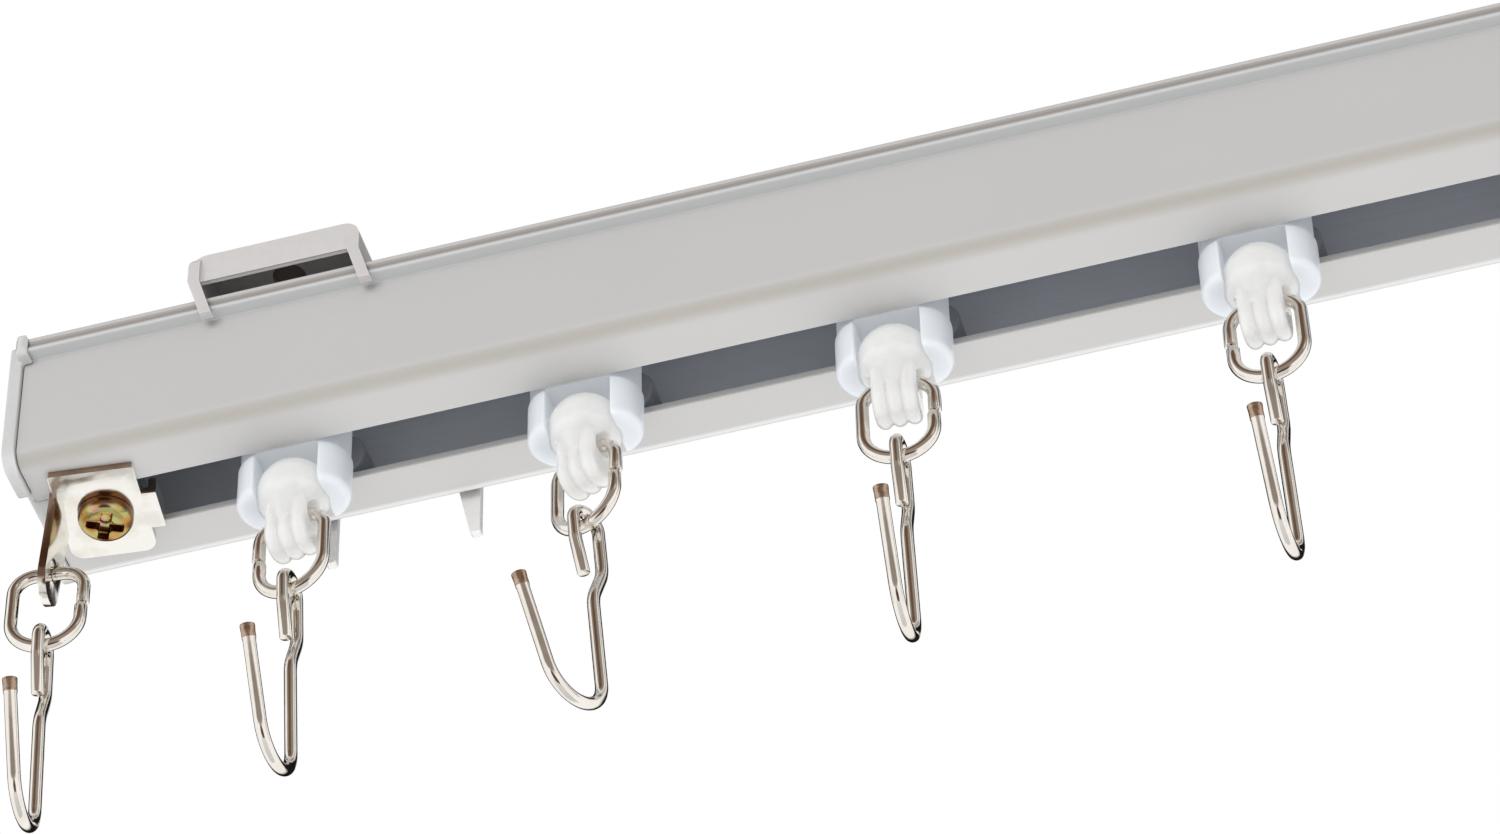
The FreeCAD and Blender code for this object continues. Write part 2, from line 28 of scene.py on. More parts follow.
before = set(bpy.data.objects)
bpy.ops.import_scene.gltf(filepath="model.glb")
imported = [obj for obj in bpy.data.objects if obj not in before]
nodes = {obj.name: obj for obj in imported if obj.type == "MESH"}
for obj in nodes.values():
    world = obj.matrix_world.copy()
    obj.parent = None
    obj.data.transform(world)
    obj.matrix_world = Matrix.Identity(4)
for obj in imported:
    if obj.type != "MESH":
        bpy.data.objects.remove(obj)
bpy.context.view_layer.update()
scene = bpy.context.scene
scene.view_settings.view_transform = "Standard"

mm = 0.001

# where the pieces stand, in millimetres and degrees; heights count from the rail's under face
layout = {
    "ceiling": 31.2,
    "railLength": 300.0,
    "bracketX": 111.0,
    "stopX": 141.0,
    "stopSkew": 7.0,
    "stopEye": (7.5368, 0.2),   # ring's place on the stop's leg, out from the screw and across
    "stopRingTop": -12.1,
    "stopHookTurn": (96.0, 84.0),
    "carrierX": (-112.2, -68.801, -23.596, 28.798, 80.0),
    "swivelTurn": (-8.0, -21.0, 2.0, -5.0, 4.0),
    "seamTurn": (180.0, 0.0, 0.0, 180.0, 0.0),      # which way round each carrier's ring hangs
    "hookTurn": (94.0, 84.0, 88.0, 90.0, 86.0),
    "ringTop": -10.6,
    "ringRise": 14.1,           # from the ring's lower wire up to its top one
    "hookSag": 0.3,
    "hookLean": 6.0,
}
sides = (("left", -1, 0), ("right", 1, 180))      # which way along the rail, and turned how far


# sRGB hex to the linear colour that shaders want
def colour(hexText):
    parts = [int(hexText[i:i + 2], 16) / 255 for i in (1, 3, 5)]
    return tuple(p / 12.92 if p <= 0.04045 else ((p + 0.055) / 1.055) ** 2.4 for p in parts) + (1,)


# noise scales that give patches of this many millimetres, along each axis or alike
def perMm(*sizes):
    scales = [1 / (size * mm) for size in sizes]
    return scales if len(scales) > 1 else scales[0]


# adds a node, sets its sockets or properties, and links inputs given as (node, socket)
# on a colour Mix, inputs 0, 6 and 7 are the share and the two colours, and output 2 is the mixed one
def addNode(tree, kind, settings=None, links=None):
    made = tree.nodes.new(kind)
    for key, value in (settings or {}).items():
        if isinstance(key, int) or key in made.inputs:
            made.inputs[key].default_value = value
        else:
            setattr(made, key, value)
    for key, (other, socket) in (links or {}).items():
        tree.links.new(other.outputs[socket], made.inputs[key])
    return made


# a new material with its tree, its shader and the place on the piece that patterns follow
def newMaterial(name, settings):
    material = bpy.data.materials.new(name)
    material.use_nodes = True
    tree = material.node_tree
    tree.nodes.clear()
    shader = addNode(tree, "ShaderNodeBsdfPrincipled", settings)
    addNode(tree, "ShaderNodeOutputMaterial", links={"Surface": (shader, "BSDF")})
    place = addNode(tree, "ShaderNodeTexCoord")
    return material, tree, shader, place


print("materials")
# sizes, heights and widths are in millimetres; a fade is the span of a slope or a pattern over which one
# tone gives way to the next

# paint is thin, and paler as a painted highlight, where the normal of a rounded edge strays from the flat one
edgeWear = {"samples": 4, "agreement": (0.99, 0.85)}
whole, wornAndHighlit = edgeWear["agreement"]

# satin polyester powder coat on extruded aluminium: even soft sheen, faint orange peel; the turn below the
# front is painted darker and warmer as shade, and the rear turn paler as a painted highlight
coat = {
    "face": "#bebdbc", "shade": "#b9b8b7", "cloudSize": 40.0,
    "roughness": 0.34, "ior": 1.5, "peelSize": 0.8, "peelHeight": 0.005,
    "edge": "#dcdbda", "edgeWidth": 0.25,
    # turn: the painted shade on the corner below the front; the rear one: a painted highlight
    "turn": "#a8a49e", "paintedShadeFacing": (0, -0.64, -0.77), "paintedShadeFade": (0.8, 1.0),
    "paintedHighlight": "#dfdfde", "paintedHighlightFacing": (0, 0.5, -0.87), "paintedHighlightFade": (0.9, 0.99),
    "rim": (                    # height on the rail, and the flange's painted light and reflection there
        (20.3, "#bfbdbb"), (20.47, "#c3c4c5"), (20.7, "#c6c6c6"), (21.15, "#9b9691"), (21.9, "#96918c"),
        (22.4, "#bfbcba"), (23.0, "#b4b2af"),
    ),
    "rimFade": 0.04,            # share of those heights over which the flange's tones set in
}
powderCoat, tree, shader, place = newMaterial("powderCoatedAluminium", {
    "Roughness": coat["roughness"], "IOR": coat["ior"],
})
peel = addNode(tree, "ShaderNodeTexNoise", {"Scale": perMm(coat["peelSize"]), "Detail": 1.0},
               {"Vector": (place, "Object")})
cloud = addNode(tree, "ShaderNodeTexNoise", {"Scale": perMm(coat["cloudSize"]), "Detail": 3.0},
                {"Vector": (place, "Object")})
base = addNode(tree, "ShaderNodeMix",
               {"data_type": "RGBA", 6: colour(coat["shade"]), 7: colour(coat["face"])},
               {0: (cloud, "Fac")})
rounded = addNode(tree, "ShaderNodeBevel", {"Radius": coat["edgeWidth"] * mm, "samples": edgeWear["samples"]})
flat = addNode(tree, "ShaderNodeNewGeometry")
withPaintedTurns = base
# shade painted on the turn below the front and a highlight painted on the rear turn, by which way a face
# points
for tone, facing, fade in (("turn", "paintedShadeFacing", "paintedShadeFade"), ("paintedHighlight", "paintedHighlightFacing", "paintedHighlightFade")):
    slope = addNode(tree, "ShaderNodeVectorMath", {"operation": "DOT_PRODUCT", 1: coat[facing]},
                    {0: (flat, "Normal")})
    low, high = coat[fade]
    share = addNode(tree, "ShaderNodeMapRange", {"From Min": low, "From Max": high},
                    {"Value": (slope, "Value")})
    withPaintedTurns = addNode(tree, "ShaderNodeMix", {"data_type": "RGBA", 7: colour(coat[tone])},
                     {0: (share, 0), 6: (withPaintedTurns, 2)})
# the flange's tones by height: a paler underside as painted light, a dark streak across its front as a
# painted reflection
lowest, highest = coat["rim"][0][0], coat["rim"][-1][0]
axes = addNode(tree, "ShaderNodeSeparateXYZ", links={0: (place, "Object")})
height = addNode(tree, "ShaderNodeMapRange", {
    "From Min": (lowest - layout["ceiling"]) * mm, "From Max": (highest - layout["ceiling"]) * mm,
}, {"Value": (axes, "Z")})
rimTone = addNode(tree, "ShaderNodeValToRGB", links={"Fac": (height, 0)})
for z, tone in coat["rim"][1:-1]:
    rimTone.color_ramp.elements.new((z - lowest) / (highest - lowest))
for element, (z, tone) in zip(rimTone.color_ramp.elements, coat["rim"]):
    element.color = colour(tone)
onPaintedRim = addNode(tree, "ShaderNodeMapRange", {"From Min": 0.0, "From Max": coat["rimFade"]},
                {"Value": (height, 0)})
rimmed = addNode(tree, "ShaderNodeMix", {"data_type": "RGBA"},
                 {0: (onPaintedRim, 0), 6: (withPaintedTurns, 2), 7: (rimTone, 0)})
# edges paler where the paint is thin, and as a painted highlight
agree = addNode(tree, "ShaderNodeVectorMath", {"operation": "DOT_PRODUCT"},
                {0: (rounded, 0), 1: (flat, "Normal")})
rubAndHighlight = addNode(tree, "ShaderNodeMapRange", {"From Min": whole, "From Max": wornAndHighlit}, {"Value": (agree, "Value")})
rubbedAndHighlit = addNode(tree, "ShaderNodeMix", {"data_type": "RGBA", 7: colour(coat["edge"])},
                 {0: (rubAndHighlight, 0), 6: (rimmed, 2)})
tree.links.new(rubbedAndHighlit.outputs[2], shader.inputs["Base Color"])
bump = addNode(tree, "ShaderNodeBump", {"Distance": coat["peelHeight"] * mm},
               {"Height": (peel, "Fac"), "Normal": (rounded, 0)})
tree.links.new(bump.outputs[0], shader.inputs["Normal"])

# the coat inside the channel, duller, and painted paler and cooler than the outside to lift the channel's
# shade, with long drawing lines left by the die, drawn coarser than they are so that they show
inside = {
    "face": "#dfe1e6", "shade": "#d2d5da", "roughness": 0.5,
    "lineSize": (60.0, 0.5, 0.5), "lineHeight": 0.006,
}
insideCoatPaintedLight, tree, shader, place = newMaterial("insideRailCoatPaintedLight", {"Roughness": inside["roughness"]})
stretch = addNode(tree, "ShaderNodeMapping", {"Scale": perMm(*inside["lineSize"])},
                  {"Vector": (place, "Object")})
lines = addNode(tree, "ShaderNodeTexNoise", {"Scale": 1.0, "Detail": 2.0}, {"Vector": (stretch, 0)})
base = addNode(tree, "ShaderNodeMix",
               {"data_type": "RGBA", 6: colour(inside["shade"]), 7: colour(inside["face"])},
               {0: (lines, "Fac")})
tree.links.new(base.outputs[2], shader.inputs["Base Color"])
bump = addNode(tree, "ShaderNodeBump", {"Distance": inside["lineHeight"] * mm}, {"Height": (lines, "Fac")})
tree.links.new(bump.outputs[0], shader.inputs["Normal"])

# injection moulded polypropylene: near white, waxy gloss, slightly hazy with faint flow marks; the mould's
# fine grain is drawn coarser, to show
capStuff = {
    "face": "#cdcdcc", "shade": "#c3c3c3", "roughness": 0.26, "ior": 1.49, "flowSize": (3.0, 14.0, 5.0),
    "grain": 0.35, "grainHeight": 0.004, "glow": 0.8, "glowShare": 0.25, "glowTint": (1.0, 1.0, 1.1),
}
capPlastic, tree, shader, place = newMaterial("mouldedPolypropylene", {
    "Roughness": capStuff["roughness"], "IOR": capStuff["ior"], "Subsurface Weight": capStuff["glowShare"],
    "Subsurface Scale": capStuff["glow"] * mm, "Subsurface Radius": capStuff["glowTint"],
})
stretch = addNode(tree, "ShaderNodeMapping", {"Scale": perMm(*capStuff["flowSize"])},
                  {"Vector": (place, "Object")})
flow = addNode(tree, "ShaderNodeTexNoise", {"Scale": 1.0, "Detail": 3.0, "Distortion": 0.6},
               {"Vector": (stretch, 0)})
base = addNode(tree, "ShaderNodeMix",
               {"data_type": "RGBA", 6: colour(capStuff["shade"]), 7: colour(capStuff["face"])},
               {0: (flow, "Fac")})
tree.links.new(base.outputs[2], shader.inputs["Base Color"])
grain = addNode(tree, "ShaderNodeTexNoise", {"Scale": perMm(capStuff["grain"]), "Detail": 2.0},
                {"Vector": (place, "Object")})
bump = addNode(tree, "ShaderNodeBump", {"Distance": capStuff["grainHeight"] * mm}, {"Height": (grain, "Fac")})
tree.links.new(bump.outputs[0], shader.inputs["Normal"])

# stove enamel on pressed steel: glossier than the rail, thin on the edges and painted pale there as a
# highlight, lumpy like orange peel
enamelStuff = {
    "face": "#cbc8c7", "shade": "#c1bebd", "roughness": 0.3, "gloss": 0.2, "glossRoughness": 0.15,
    "peelSize": 1.2, "peelHeight": 0.01, "edge": "#e4e2e1", "edgeWidth": 0.2,
    # the latch's tones, paler as painted light
    "latchFacePaintedLight": "#e6e5e3", "latchShadePaintedLight": "#dddcda",
}
enamel, tree, shader, place = newMaterial("stoveEnamelledSteel", {
    "Roughness": enamelStuff["roughness"], "Coat Weight": enamelStuff["gloss"],
    "Coat Roughness": enamelStuff["glossRoughness"],
})
peel = addNode(tree, "ShaderNodeTexNoise", {"Scale": perMm(enamelStuff["peelSize"]), "Detail": 2.0},
               {"Vector": (place, "Object")})
base = addNode(tree, "ShaderNodeMix",
               {"data_type": "RGBA", 6: colour(enamelStuff["shade"]), 7: colour(enamelStuff["face"])},
               {0: (peel, "Fac")})
rounded = addNode(tree, "ShaderNodeBevel",
                  {"Radius": enamelStuff["edgeWidth"] * mm, "samples": edgeWear["samples"]})
flat = addNode(tree, "ShaderNodeNewGeometry")
# edges paler where the paint is thin, and as a painted highlight
agree = addNode(tree, "ShaderNodeVectorMath", {"operation": "DOT_PRODUCT"},
                {0: (rounded, 0), 1: (flat, "Normal")})
rubAndHighlight = addNode(tree, "ShaderNodeMapRange", {"From Min": whole, "From Max": wornAndHighlit}, {"Value": (agree, "Value")})
rubbedAndHighlit = addNode(tree, "ShaderNodeMix", {"data_type": "RGBA", 7: colour(enamelStuff["edge"])},
                 {0: (rubAndHighlight, 0), 6: (base, 2)})
tree.links.new(rubbedAndHighlit.outputs[2], shader.inputs["Base Color"])
bump = addNode(tree, "ShaderNodeBump", {"Distance": enamelStuff["peelHeight"] * mm},
               {"Height": (peel, "Fac")})
tree.links.new(bump.outputs[0], shader.inputs["Normal"])

# the same enamel on the latch, painted paler to lift the shade it lies in behind the rail
latchEnamelPaintedLight = enamel.copy()
latchEnamelPaintedLight.name = "enamelledSteelWithPaintedLight"
latchPaintedLightMix = latchEnamelPaintedLight.node_tree.nodes[base.name]
latchPaintedLightMix.inputs[6].default_value = colour(enamelStuff["latchShadePaintedLight"])
latchPaintedLightMix.inputs[7].default_value = colour(enamelStuff["latchFacePaintedLight"])

# moulded white nylon: dense cool white with a soft gloss and light that creeps a little way in
# the light that comes through from behind is painted as a faint glow of its own that lifts the shade in the
# recess and between the parts; the fine grain is drawn coarser, to show
nylonStuff = {
    "face": "#c9ccd0", "shade": "#bfc2c7", "roughness": 0.28, "ior": 1.53, "cloudSize": 5.0,
    "grain": 0.3, "grainHeight": 0.006, "glow": 4.0, "glowShare": 0.8, "glowTint": (1.0, 1.05, 1.1),
    # painted glow: its tint and strength
    "through": "#e6ecf2", "throughShare": 0.18,
}
carrierNylon, tree, shader, place = newMaterial("mouldedWhiteNylon", {
    "Roughness": nylonStuff["roughness"], "IOR": nylonStuff["ior"],
    "Subsurface Weight": nylonStuff["glowShare"], "Subsurface Scale": nylonStuff["glow"] * mm,
    "Subsurface Radius": nylonStuff["glowTint"],
    "Emission Color": colour(nylonStuff["through"]), "Emission Strength": nylonStuff["throughShare"],
})
cloud = addNode(tree, "ShaderNodeTexNoise", {"Scale": perMm(nylonStuff["cloudSize"]), "Detail": 3.0},
                {"Vector": (place, "Object")})
base = addNode(tree, "ShaderNodeMix",
               {"data_type": "RGBA", 6: colour(nylonStuff["shade"]), 7: colour(nylonStuff["face"])},
               {0: (cloud, "Fac")})
tree.links.new(base.outputs[2], shader.inputs["Base Color"])
grain = addNode(tree, "ShaderNodeTexNoise", {"Scale": perMm(nylonStuff["grain"]), "Detail": 2.0},
                {"Vector": (place, "Object")})
bump = addNode(tree, "ShaderNodeBump", {"Distance": nylonStuff["grainHeight"] * mm},
               {"Height": (grain, "Fac")})
tree.links.new(bump.outputs[0], shader.inputs["Normal"])

# natural nylon, unpigmented: milky, glows where it is thin, with a faint painted glow all over that lifts its
# shade, and wet looking highlights on a rippled skin
milkyStuff = {
    "face": "#c8c8c7", "shade": "#bebebd", "roughness": 0.16, "ior": 1.53,
    "gloss": 0.5, "glossRoughness": 0.06, "cloudSize": 3.0, "ripple": 1.1, "rippleHeight": 0.06,
    # painted glow: its tint and strength
    "glow": 5.0, "glowShare": 0.9, "glowTint": (1.05, 1.0, 0.95), "through": "#f3f3f1", "throughShare": 0.22,
}
milkyNylon, tree, shader, place = newMaterial("naturalMilkyNylon", {
    "Roughness": milkyStuff["roughness"], "IOR": milkyStuff["ior"], "Coat Weight": milkyStuff["gloss"],
    "Coat Roughness": milkyStuff["glossRoughness"], "Subsurface Weight": milkyStuff["glowShare"],
    "Subsurface Scale": milkyStuff["glow"] * mm, "Subsurface Radius": milkyStuff["glowTint"],
    "Emission Color": colour(milkyStuff["through"]), "Emission Strength": milkyStuff["throughShare"],
})
cloud = addNode(tree, "ShaderNodeTexNoise", {"Scale": perMm(milkyStuff["cloudSize"]), "Detail": 3.0},
                {"Vector": (place, "Object")})
base = addNode(tree, "ShaderNodeMix",
               {"data_type": "RGBA", 6: colour(milkyStuff["shade"]), 7: colour(milkyStuff["face"])},
               {0: (cloud, "Fac")})
tree.links.new(base.outputs[2], shader.inputs["Base Color"])
ripple = addNode(tree, "ShaderNodeTexNoise", {"Scale": perMm(milkyStuff["ripple"]), "Detail": 2.0},
                 {"Vector": (place, "Object")})
bump = addNode(tree, "ShaderNodeBump", {"Distance": milkyStuff["rippleHeight"] * mm},
               {"Height": (ripple, "Fac")})
tree.links.new(bump.outputs[0], shader.inputs["Normal"])

# grey acetal wheels: slippery plastic that hides in the channel's shade, with fine turning marks, drawn
# coarser, to show
acetalStuff = {
    "face": "#9698a0", "shade": "#888a91", "roughness": 0.4, "ior": 1.48,
    "markSize": (0.3, 4.0, 0.3), "markHeight": 0.005,
}
greyAcetal, tree, shader, place = newMaterial("mouldedGreyAcetal", {
    "Roughness": acetalStuff["roughness"], "IOR": acetalStuff["ior"],
})
stretch = addNode(tree, "ShaderNodeMapping", {"Scale": perMm(*acetalStuff["markSize"])},
                  {"Vector": (place, "Object")})
marks = addNode(tree, "ShaderNodeTexNoise", {"Scale": 1.0, "Detail": 2.0}, {"Vector": (stretch, 0)})
base = addNode(tree, "ShaderNodeMix",
               {"data_type": "RGBA", 6: colour(acetalStuff["shade"]), 7: colour(acetalStuff["face"])},
               {0: (marks, "Fac")})
tree.links.new(base.outputs[2], shader.inputs["Base Color"])
bump = addNode(tree, "ShaderNodeBump", {"Distance": acetalStuff["markHeight"] * mm},
               {"Height": (marks, "Fac")})
tree.links.new(bump.outputs[0], shader.inputs["Normal"])

# bright nickel plate on drawn steel wire: mirror-like, a little warm, streaked lengthwise by the drawing die;
# the streaks are drawn coarser than they are, to show
wireStuff = {
    "face": "#f1ede7", "shade": "#d9d2c8", "roughness": (0.04, 0.14), "dullFade": (0.35, 0.7),
    "cloudSize": 3.0, "cloudHeight": 0.02, "lineSize": (0.3, 0.3, 7.0), "lineHeight": 0.003,
}
nickelWire, tree, shader, place = newMaterial("nickelPlatedWire", {"Metallic": 1.0})
cloud = addNode(tree, "ShaderNodeTexNoise", {"Scale": perMm(wireStuff["cloudSize"]), "Detail": 4.0},
                {"Vector": (place, "Object")})
base = addNode(tree, "ShaderNodeMix",
               {"data_type": "RGBA", 6: colour(wireStuff["shade"]), 7: colour(wireStuff["face"])},
               {0: (cloud, "Fac")})
tree.links.new(base.outputs[2], shader.inputs["Base Color"])
low, high = wireStuff["dullFade"]
smooth, dull = wireStuff["roughness"]
gloss = addNode(tree, "ShaderNodeMapRange",
                {"From Min": low, "From Max": high, "To Min": smooth, "To Max": dull},
                {"Value": (cloud, "Fac")})
tree.links.new(gloss.outputs[0], shader.inputs["Roughness"])
stretch = addNode(tree, "ShaderNodeMapping", {"Scale": perMm(*wireStuff["lineSize"])},
                  {"Vector": (place, "Object")})
lines = addNode(tree, "ShaderNodeTexNoise", {"Scale": 1.0, "Detail": 3.0}, {"Vector": (stretch, 0)})
waves = addNode(tree, "ShaderNodeBump", {"Distance": wireStuff["cloudHeight"] * mm},
                {"Height": (cloud, "Fac")})
bump = addNode(tree, "ShaderNodeBump", {"Distance": wireStuff["lineHeight"] * mm},
               {"Height": (lines, "Fac"), "Normal": (waves, 0)})
tree.links.new(bump.outputs[0], shader.inputs["Normal"])

# cropped wire end where the plating is thin: the copper strike shows through in dull brown blotches
tipStuff = {
    "copper": "#d8c0aa", "dark": "#74533d", "roughness": (0.08, 0.35), "blotch": 0.8, "blotchHeight": 0.05,
}
wornTip, tree, shader, place = newMaterial("copperyCroppedEnd", {"Metallic": 1.0})
blotch = addNode(tree, "ShaderNodeTexNoise", {"Scale": perMm(tipStuff["blotch"]), "Detail": 4.0},
                 {"Vector": (place, "Object")})
base = addNode(tree, "ShaderNodeMix",
               {"data_type": "RGBA", 6: colour(tipStuff["dark"]), 7: colour(tipStuff["copper"])},
               {0: (blotch, "Fac")})
tree.links.new(base.outputs[2], shader.inputs["Base Color"])
smooth, dull = tipStuff["roughness"]
gloss = addNode(tree, "ShaderNodeMapRange", {"To Min": smooth, "To Max": dull}, {"Value": (blotch, "Fac")})
tree.links.new(gloss.outputs[0], shader.inputs["Roughness"])
bump = addNode(tree, "ShaderNodeBump", {"Distance": tipStuff["blotchHeight"] * mm},
               {"Height": (blotch, "Fac")})
tree.links.new(bump.outputs[0], shader.inputs["Normal"])

# nickel plate on pressed strip: soft satin mirror with a rolling grain and cloudy patches; the front and rear
# edges are painted browner as a reflection; the grain is drawn coarser, to show
plateStuff = {
    "face": "#ebe9e2", "shade": "#dedad1", "cloudSize": 4.5, "patchFade": (0.34, 0.52),
    # cut: the painted brown reflection on the front and rear edges, with its darker tone
    "cut": "#a48c7a", "paintedReflectionDark": "#917b6a", "paintedReflectionFade": (0.6, 0.85),
    "roughness": (0.08, 0.2), "dullFade": (0.3, 0.7), "grain": (8.0, 0.4, 0.4), "grainHeight": 0.005,
}
nickelPlate, tree, shader, place = newMaterial("nickelPlatedStrip", {"Metallic": 1.0})
cloud = addNode(tree, "ShaderNodeTexNoise", {"Scale": perMm(plateStuff["cloudSize"]), "Detail": 4.0},
                {"Vector": (place, "Object")})
low, high = plateStuff["patchFade"]
patches = addNode(tree, "ShaderNodeMapRange", {"From Min": low, "From Max": high}, {"Value": (cloud, "Fac")})
base = addNode(tree, "ShaderNodeMix",
               {"data_type": "RGBA", 6: colour(plateStuff["shade"]), 7: colour(plateStuff["face"])},
               {0: (patches, 0)})
skew = math.radians(layout["stopSkew"])
flat = addNode(tree, "ShaderNodeNewGeometry")
# faces that look front or rear across the plate take the painted reflection
side = addNode(tree, "ShaderNodeVectorMath",
               {"operation": "DOT_PRODUCT", 1: (-math.sin(skew), math.cos(skew), 0)},
               {0: (flat, "Normal")})
sideways = addNode(tree, "ShaderNodeMath", {"operation": "ABSOLUTE"}, {0: (side, "Value")})
low, high = plateStuff["paintedReflectionFade"]
onPaintedReflection = addNode(tree, "ShaderNodeMapRange", {"From Min": low, "From Max": high}, {"Value": (sideways, 0)})
cut = addNode(tree, "ShaderNodeMix",
              {"data_type": "RGBA", 6: colour(plateStuff["paintedReflectionDark"]), 7: colour(plateStuff["cut"])},
              {0: (patches, 0)})
withPaintedReflection = addNode(tree, "ShaderNodeMix", {"data_type": "RGBA"}, {0: (onPaintedReflection, 0), 6: (base, 2), 7: (cut, 2)})
tree.links.new(withPaintedReflection.outputs[2], shader.inputs["Base Color"])
low, high = plateStuff["dullFade"]
smooth, dull = plateStuff["roughness"]
gloss = addNode(tree, "ShaderNodeMapRange",
                {"From Min": low, "From Max": high, "To Min": smooth, "To Max": dull},
                {"Value": (cloud, "Fac")})
tree.links.new(gloss.outputs[0], shader.inputs["Roughness"])
stretch = addNode(tree, "ShaderNodeMapping", {"Scale": perMm(*plateStuff["grain"])},
                  {"Vector": (place, "Object")})
grain = addNode(tree, "ShaderNodeTexNoise", {"Scale": 1.0, "Detail": 3.0}, {"Vector": (stretch, 0)})
bump = addNode(tree, "ShaderNodeBump", {"Distance": plateStuff["grainHeight"] * mm},
               {"Height": (grain, "Fac")})
tree.links.new(bump.outputs[0], shader.inputs["Normal"])

# yellow passivated zinc on a steel screw: brassy gold that drifts to green and pink; its steep faces, the rim
# and the cross's walls, are painted brown as a reflection
screwStuff = {
    "gold": "#bf9554", "bronze": "#744b26", "green": "#b1b678", "pink": "#cf9a8c",
    "hues": ((0.34, "bronze"), (0.46, "gold"), (0.54, "green"), (0.62, "pink"), (0.7, "gold")),
    # rim: the painted brown reflection on the head's steep faces
    "rim": "#70482a", "rimFade": (0.6, 0.2), "roughness": 0.18, "patch": 4.0, "patchHeight": 0.03,
}
yellowZinc, tree, shader, place = newMaterial("yellowPassivatedZinc", {
    "Metallic": 1.0, "Roughness": screwStuff["roughness"],
})
patch = addNode(tree, "ShaderNodeTexNoise", {"Scale": perMm(screwStuff["patch"]), "Detail": 1.0},
                {"Vector": (place, "Object")})
hues = addNode(tree, "ShaderNodeValToRGB", links={"Fac": (patch, "Fac")})
for at, name in screwStuff["hues"][1:-1]:
    hues.color_ramp.elements.new(at)
for element, (at, name) in zip(hues.color_ramp.elements, screwStuff["hues"]):
    element.position = at
    element.color = colour(screwStuff[name])
# steep faces of the head and the cross take the painted reflection
flat = addNode(tree, "ShaderNodeNewGeometry")
down = addNode(tree, "ShaderNodeVectorMath", {"operation": "DOT_PRODUCT", 1: (0, 0, -1)},
               {0: (flat, "Normal")})
low, high = screwStuff["rimFade"]
steep = addNode(tree, "ShaderNodeMapRange", {"From Min": low, "From Max": high}, {"Value": (down, "Value")})
withPaintedRimTone = addNode(tree, "ShaderNodeMix", {"data_type": "RGBA", 7: colour(screwStuff["rim"])},
                  {0: (steep, 0), 6: (hues, 0)})
tree.links.new(withPaintedRimTone.outputs[2], shader.inputs["Base Color"])
bump = addNode(tree, "ShaderNodeBump", {"Distance": screwStuff["patchHeight"] * mm},
               {"Height": (patch, "Fac")})
tree.links.new(bump.outputs[0], shader.inputs["Normal"])

# clear passivated zinc on nuts and rivets: dull blue-grey metal with a fine spangle
zincStuff = {"face": "#b9bcc0", "shade": "#9a9ea3", "roughness": 0.38, "spangle": 0.9, "spangleHeight": 0.01}
dullZinc, tree, shader, place = newMaterial("clearPassivatedZinc", {
    "Metallic": 1.0, "Roughness": zincStuff["roughness"],
})
spangle = addNode(tree, "ShaderNodeTexVoronoi", {"Scale": perMm(zincStuff["spangle"])},
                  {"Vector": (place, "Object")})
base = addNode(tree, "ShaderNodeMix",
               {"data_type": "RGBA", 6: colour(zincStuff["shade"]), 7: colour(zincStuff["face"])},
               {0: (spangle, "Distance")})
tree.links.new(base.outputs[2], shader.inputs["Base Color"])
bump = addNode(tree, "ShaderNodeBump", {"Distance": zincStuff["spangleHeight"] * mm},
               {"Height": (spangle, "Distance")})
tree.links.new(bump.outputs[0], shader.inputs["Normal"])

# lengths in millimetres, angles in degrees
meshing = {
    "weld": 0.002, "flatAngle": 0.3,        # CAD meshes: points to merge, and edges that bend less to drop
    "edgeAngle": 40,                        # pressed pieces: edges sharper than this are rounded
    "smoothing": 0.5,                       # mouldings: how far each round of smoothing goes
    "sharpAngle": 38, "softAngle": 60,      # shading stays sharp past these, on cut and on moulded pieces
}


# moves a mesh worked in millimetres to its place: leaned about Y, turned about Z, then shifted
def setDown(bm, at=(0, 0, 0), turn=0.0, lean=0.0):
    shift = Matrix.Translation(Vector(at) - Vector((0, 0, layout["ceiling"])))
    spinZ = Matrix.Rotation(math.radians(turn), 4, "Z")
    leanY = Matrix.Rotation(math.radians(lean), 4, "Y")
    moved = bm.copy()
    bmesh.ops.transform(moved, matrix=Matrix.Scale(mm, 4) @ shift @ spinZ @ leanY, verts=moved.verts)
    return moved


# the CAD node's own mesh in millimetres, brought back to the middle, merged and rid of needless edges
def cadShape(node, at=(0, 0, 0), turn=0.0):
    bm = bmesh.new()
    bm.from_mesh(nodes[node].data)
    unshift = Matrix.Translation(Vector((0, 0, layout["ceiling"])) - Vector(at))
    back = Matrix.Rotation(math.radians(-turn), 4, "Z") @ unshift
    bmesh.ops.transform(bm, matrix=back @ Matrix.Scale(1 / mm, 4), verts=bm.verts)
    bmesh.ops.remove_doubles(bm, verts=bm.verts, dist=meshing["weld"])
    bmesh.ops.dissolve_limit(bm, angle_limit=math.radians(meshing["flatAngle"]), verts=bm.verts,
                             edges=bm.edges)
    return bm


# the mesh after modifiers, each given as its kind and settings
def afterModifiers(bm, modifiers):
    mesh = bpy.data.meshes.new("trial")
    bm.to_mesh(mesh)
    bm.free()
    trial = bpy.data.objects.new("trial", mesh)
    scene.collection.objects.link(trial)
    for kind, settings in modifiers:
        modifier = trial.modifiers.new(kind, kind)
        for key, value in settings.items():
            setattr(modifier, key, value)
    result = bpy.data.meshes.new_from_object(trial.evaluated_get(bpy.context.evaluated_depsgraph_get()))
    shaped = bmesh.new()
    shaped.from_mesh(result)
    bpy.data.objects.remove(trial)
    bpy.data.meshes.remove(mesh)
    bpy.data.meshes.remove(result)
    return shaped


# rounds the sharp edges of a pressed or cut piece
def softEdges(bm, width):
    bevel = {"width": width, "segments": 3, "use_clamp_overlap": True,
             "limit_method": "ANGLE", "angle_limit": math.radians(meshing["edgeAngle"])}
    return afterModifiers(bm, [("BEVEL", bevel)])


